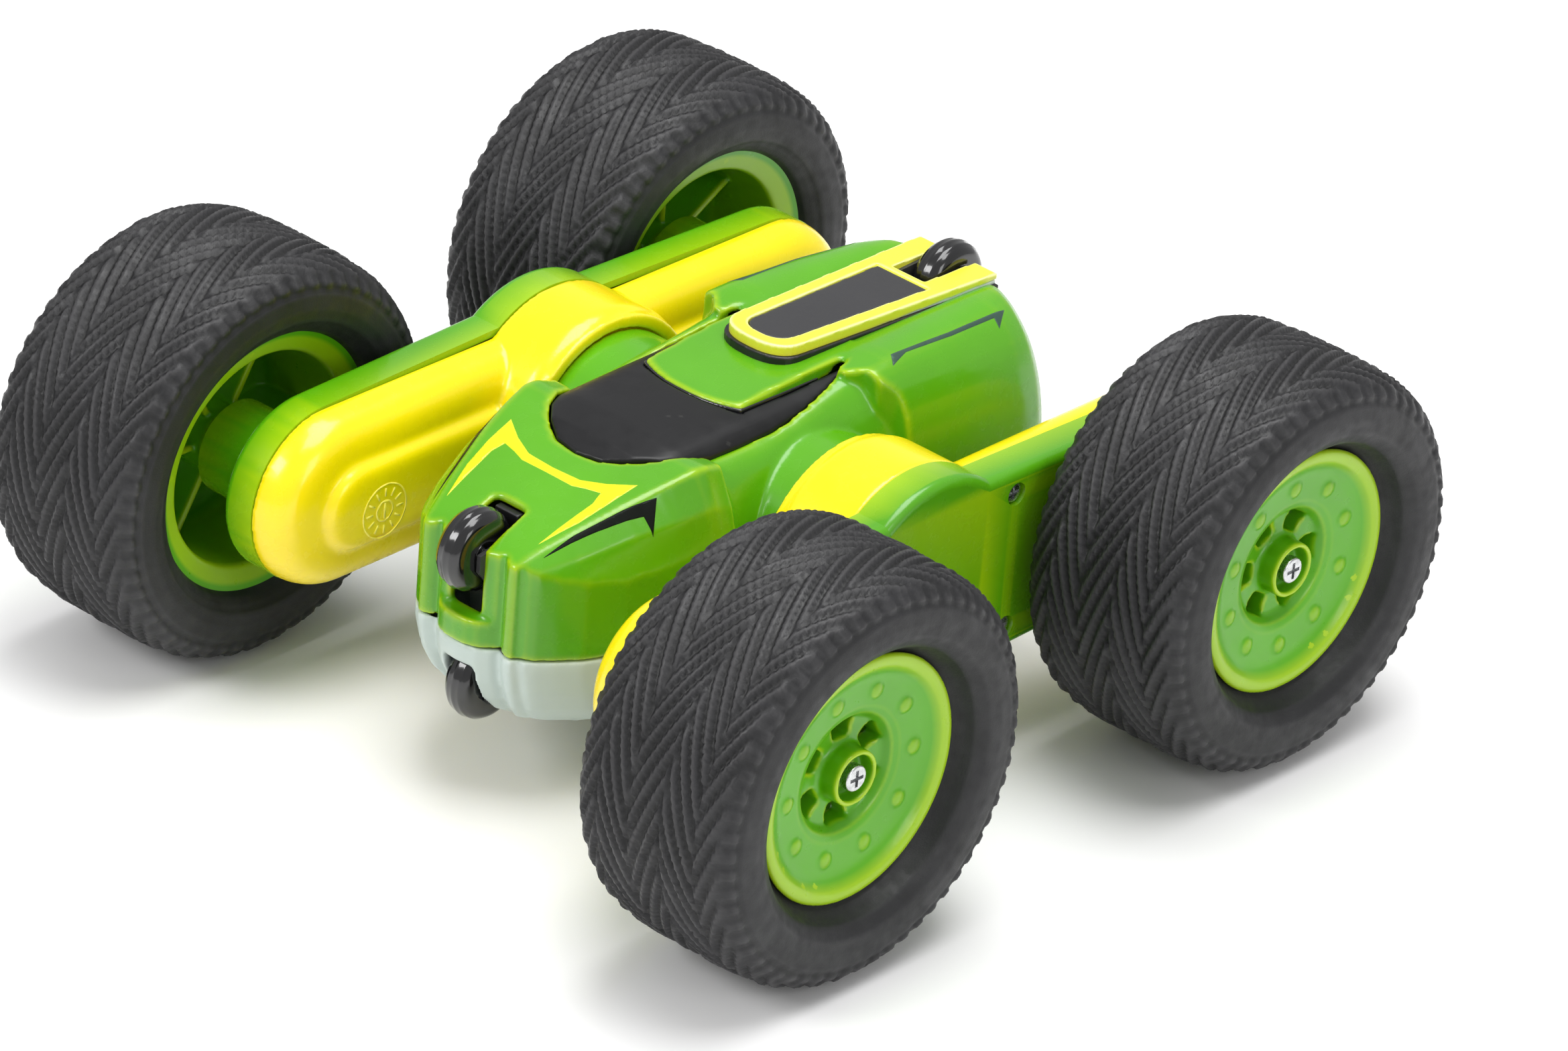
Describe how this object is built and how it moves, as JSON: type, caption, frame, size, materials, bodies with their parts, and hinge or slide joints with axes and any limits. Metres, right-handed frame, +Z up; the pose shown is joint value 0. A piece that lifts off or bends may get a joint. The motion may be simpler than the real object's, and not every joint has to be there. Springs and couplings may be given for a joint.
{
  "type": "rc stunt car",
  "caption": "Double-sided remote control stunt car: narrow body between two free-turning side arms, each a motor gearbox driving its front and rear wheel.",
  "frame": {"origin": "on the ground under the middle of the cross axis that both side arms turn about", "axes": "+Z up, front of the car faces -Y, +X is the car's left side"},
  "size_m": [0.2224, 0.2326, 0.095],
  "materials": {
    "body_green": "gloss moulded ABS",
    "lower_silver": "satin moulded ABS, pale silver grey",
    "canopy_black": "satin black ABS",
    "spine_yellow": "gloss moulded ABS",
    "spine_graphite": "satin graphite",
    "bracket_black": "satin moulded ABS",
    "roller_black": "gloss moulded ABS",
    "steel": "zinc plated",
    "battery_wrap": "shrink wrap",
    "board_green": "solder mask",
    "arm_yellow": "gloss moulded ABS",
    "bronze": "turned",
    "motor_can": "plated steel",
    "tyre_rubber": "matt soft rubber",
    "rim_lime": "gloss moulded ABS",
    "gear_nylon": "natural nylon"
  },
  "bodies": {
    "body": {"upper_shell": "body_green", "lower_shell": "lower_silver", "canopy": "canopy_black", "spine_cover": "spine_yellow", "spine_insert": "spine_graphite", "front_roller_bracket": "bracket_black", "rear_roller_bracket": "bracket_black", "roller_pins": "steel", "battery_pack": "battery_wrap", "circuit_board": "board_green", "pivot_tubes": "bracket_black", "case_screws": "steel"},
    "battery_door": {"battery_door": "lower_silver"},
    "power_switch": {"power_switch": "bracket_black"},
    "front_upper_roller": {"front_upper_roller": "roller_black"},
    "front_lower_roller": {"front_lower_roller": "roller_black"},
    "rear_upper_roller": {"rear_upper_roller": "roller_black"},
    "rear_lower_roller": {"rear_lower_roller": "roller_black"},
    "left_arm": {"left_arm_inner_shell": "arm_yellow", "left_arm_outer_shell": "body_green", "left_gear_plate": "bracket_black", "left_gear_pins": "steel", "left_axle_bushes": "bronze", "left_arm_screws": "steel", "left_motor": "motor_can"},
    "left_front_wheel": {"left_front_tyre": "tyre_rubber", "left_front_rim": "rim_lime", "left_front_axle": "gear_nylon", "left_front_hub_screw": "steel"},
    "left_rear_wheel": {"left_rear_tyre": "tyre_rubber", "left_rear_rim": "rim_lime", "left_rear_axle": "gear_nylon", "left_rear_hub_screw": "steel"},
    "left_front_inner_idler": {"left_front_inner_idler": "gear_nylon"},
    "left_front_outer_idler": {"left_front_outer_idler": "gear_nylon"},
    "left_rear_inner_idler": {"left_rear_inner_idler": "gear_nylon"},
    "left_rear_outer_idler": {"left_rear_outer_idler": "gear_nylon"},
    "left_centre_gear": {"left_centre_gear": "gear_nylon"},
    "left_motor_pinion": {"left_motor_pinion": "bronze"},
    "right_arm": {"right_arm_inner_shell": "arm_yellow", "right_arm_outer_shell": "body_green", "right_gear_plate": "bracket_black", "right_gear_pins": "steel", "right_axle_bushes": "bronze", "right_arm_screws": "steel", "right_motor": "motor_can"},
    "right_front_wheel": {"right_front_tyre": "tyre_rubber", "right_front_rim": "rim_lime", "right_front_axle": "gear_nylon", "right_front_hub_screw": "steel"},
    "right_rear_wheel": {"right_rear_tyre": "tyre_rubber", "right_rear_rim": "rim_lime", "right_rear_axle": "gear_nylon", "right_rear_hub_screw": "steel"},
    "right_front_inner_idler": {"right_front_inner_idler": "gear_nylon"},
    "right_front_outer_idler": {"right_front_outer_idler": "gear_nylon"},
    "right_rear_inner_idler": {"right_rear_inner_idler": "gear_nylon"},
    "right_rear_outer_idler": {"right_rear_outer_idler": "gear_nylon"},
    "right_centre_gear": {"right_centre_gear": "gear_nylon"},
    "right_motor_pinion": {"right_motor_pinion": "bronze"}
  },
  "joints": [
    {"name": "battery_door_hinge", "type": "hinge", "parent": "body", "child": "battery_door", "pos_m": [0, 0.0317, 0.017], "axis": [1, 0, 0], "range_deg": [0, 100]},
    {"name": "power_switch_slide", "type": "slide", "parent": "body", "child": "power_switch", "axis": [0, 1, 0], "range_m": [0, 0.003]},
    {"name": "front_upper_roller_spin", "type": "hinge", "parent": "body", "child": "front_upper_roller", "pos_m": [0, -0.0765, 0.0593], "axis": [1, 0, 0], "continuous": true},
    {"name": "front_lower_roller_spin", "type": "hinge", "parent": "body", "child": "front_lower_roller", "pos_m": [0, -0.0713, 0.0264], "axis": [1, 0, 0], "continuous": true},
    {"name": "rear_upper_roller_spin", "type": "hinge", "parent": "body", "child": "rear_upper_roller", "pos_m": [0, 0.0689, 0.0755], "axis": [1, 0, 0], "continuous": true},
    {"name": "rear_lower_roller_spin", "type": "hinge", "parent": "body", "child": "rear_lower_roller", "pos_m": [0, 0.0689, 0.0195], "axis": [1, 0, 0], "continuous": true},
    {"name": "left_arm_pivot", "type": "hinge", "parent": "body", "child": "left_arm", "pos_m": [0, 0, 0.0475], "axis": [1, 0, 0], "continuous": true},
    {"name": "left_front_wheel_spin", "type": "hinge", "parent": "left_arm", "child": "left_front_wheel", "pos_m": [0, -0.0688, 0.0475], "axis": [1, 0, 0], "continuous": true},
    {"name": "left_rear_wheel_spin", "type": "hinge", "parent": "left_arm", "child": "left_rear_wheel", "pos_m": [0, 0.0688, 0.0475], "axis": [1, 0, 0], "continuous": true},
    {"name": "left_front_inner_idler_spin", "type": "hinge", "parent": "left_arm", "child": "left_front_inner_idler", "pos_m": [0, -0.0192, 0.0475], "axis": [1, 0, 0], "continuous": true},
    {"name": "left_front_outer_idler_spin", "type": "hinge", "parent": "left_arm", "child": "left_front_outer_idler", "pos_m": [0, -0.0416, 0.0475], "axis": [1, 0, 0], "continuous": true},
    {"name": "left_rear_inner_idler_spin", "type": "hinge", "parent": "left_arm", "child": "left_rear_inner_idler", "pos_m": [0, 0.0192, 0.0475], "axis": [1, 0, 0], "continuous": true},
    {"name": "left_rear_outer_idler_spin", "type": "hinge", "parent": "left_arm", "child": "left_rear_outer_idler", "pos_m": [0, 0.0416, 0.0475], "axis": [1, 0, 0], "continuous": true},
    {"name": "left_centre_gear_spin", "type": "hinge", "parent": "left_arm", "child": "left_centre_gear", "pos_m": [0, 0, 0.0475], "axis": [1, 0, 0], "continuous": true},
    {"name": "left_motor_pinion_spin", "type": "hinge", "parent": "left_arm", "child": "left_motor_pinion", "pos_m": [0, 0, 0.0307], "axis": [1, 0, 0], "continuous": true},
    {"name": "right_arm_pivot", "type": "hinge", "parent": "body", "child": "right_arm", "pos_m": [0, 0, 0.0475], "axis": [1, 0, 0], "continuous": true},
    {"name": "right_front_wheel_spin", "type": "hinge", "parent": "right_arm", "child": "right_front_wheel", "pos_m": [0, -0.0688, 0.0475], "axis": [1, 0, 0], "continuous": true},
    {"name": "right_rear_wheel_spin", "type": "hinge", "parent": "right_arm", "child": "right_rear_wheel", "pos_m": [0, 0.0688, 0.0475], "axis": [1, 0, 0], "continuous": true},
    {"name": "right_front_inner_idler_spin", "type": "hinge", "parent": "right_arm", "child": "right_front_inner_idler", "pos_m": [0, -0.0192, 0.0475], "axis": [1, 0, 0], "continuous": true},
    {"name": "right_front_outer_idler_spin", "type": "hinge", "parent": "right_arm", "child": "right_front_outer_idler", "pos_m": [0, -0.0416, 0.0475], "axis": [1, 0, 0], "continuous": true},
    {"name": "right_rear_inner_idler_spin", "type": "hinge", "parent": "right_arm", "child": "right_rear_inner_idler", "pos_m": [0, 0.0192, 0.0475], "axis": [1, 0, 0], "continuous": true},
    {"name": "right_rear_outer_idler_spin", "type": "hinge", "parent": "right_arm", "child": "right_rear_outer_idler", "pos_m": [0, 0.0416, 0.0475], "axis": [1, 0, 0], "continuous": true},
    {"name": "right_centre_gear_spin", "type": "hinge", "parent": "right_arm", "child": "right_centre_gear", "pos_m": [0, 0, 0.0475], "axis": [1, 0, 0], "continuous": true},
    {"name": "right_motor_pinion_spin", "type": "hinge", "parent": "right_arm", "child": "right_motor_pinion", "pos_m": [0, 0, 0.0307], "axis": [1, 0, 0], "continuous": true}
  ],
  "couplings": [
    {"joint": "left_rear_wheel_spin", "follows": "left_front_wheel_spin", "ratio": 1},
    {"joint": "left_front_inner_idler_spin", "follows": "left_front_wheel_spin", "ratio": 1.4286},
    {"joint": "left_front_outer_idler_spin", "follows": "left_front_wheel_spin", "ratio": -1.4286},
    {"joint": "left_rear_inner_idler_spin", "follows": "left_front_wheel_spin", "ratio": 1.4286},
    {"joint": "left_rear_outer_idler_spin", "follows": "left_front_wheel_spin", "ratio": -1.4286},
    {"joint": "left_centre_gear_spin", "follows": "left_front_wheel_spin", "ratio": -2},
    {"joint": "left_motor_pinion_spin", "follows": "left_front_wheel_spin", "ratio": 9.2},
    {"joint": "right_rear_wheel_spin", "follows": "right_front_wheel_spin", "ratio": 1},
    {"joint": "right_front_inner_idler_spin", "follows": "right_front_wheel_spin", "ratio": 1.4286},
    {"joint": "right_front_outer_idler_spin", "follows": "right_front_wheel_spin", "ratio": -1.4286},
    {"joint": "right_rear_inner_idler_spin", "follows": "right_front_wheel_spin", "ratio": 1.4286},
    {"joint": "right_rear_outer_idler_spin", "follows": "right_front_wheel_spin", "ratio": -1.4286},
    {"joint": "right_centre_gear_spin", "follows": "right_front_wheel_spin", "ratio": -2},
    {"joint": "right_motor_pinion_spin", "follows": "right_front_wheel_spin", "ratio": 9.2}
  ]
}
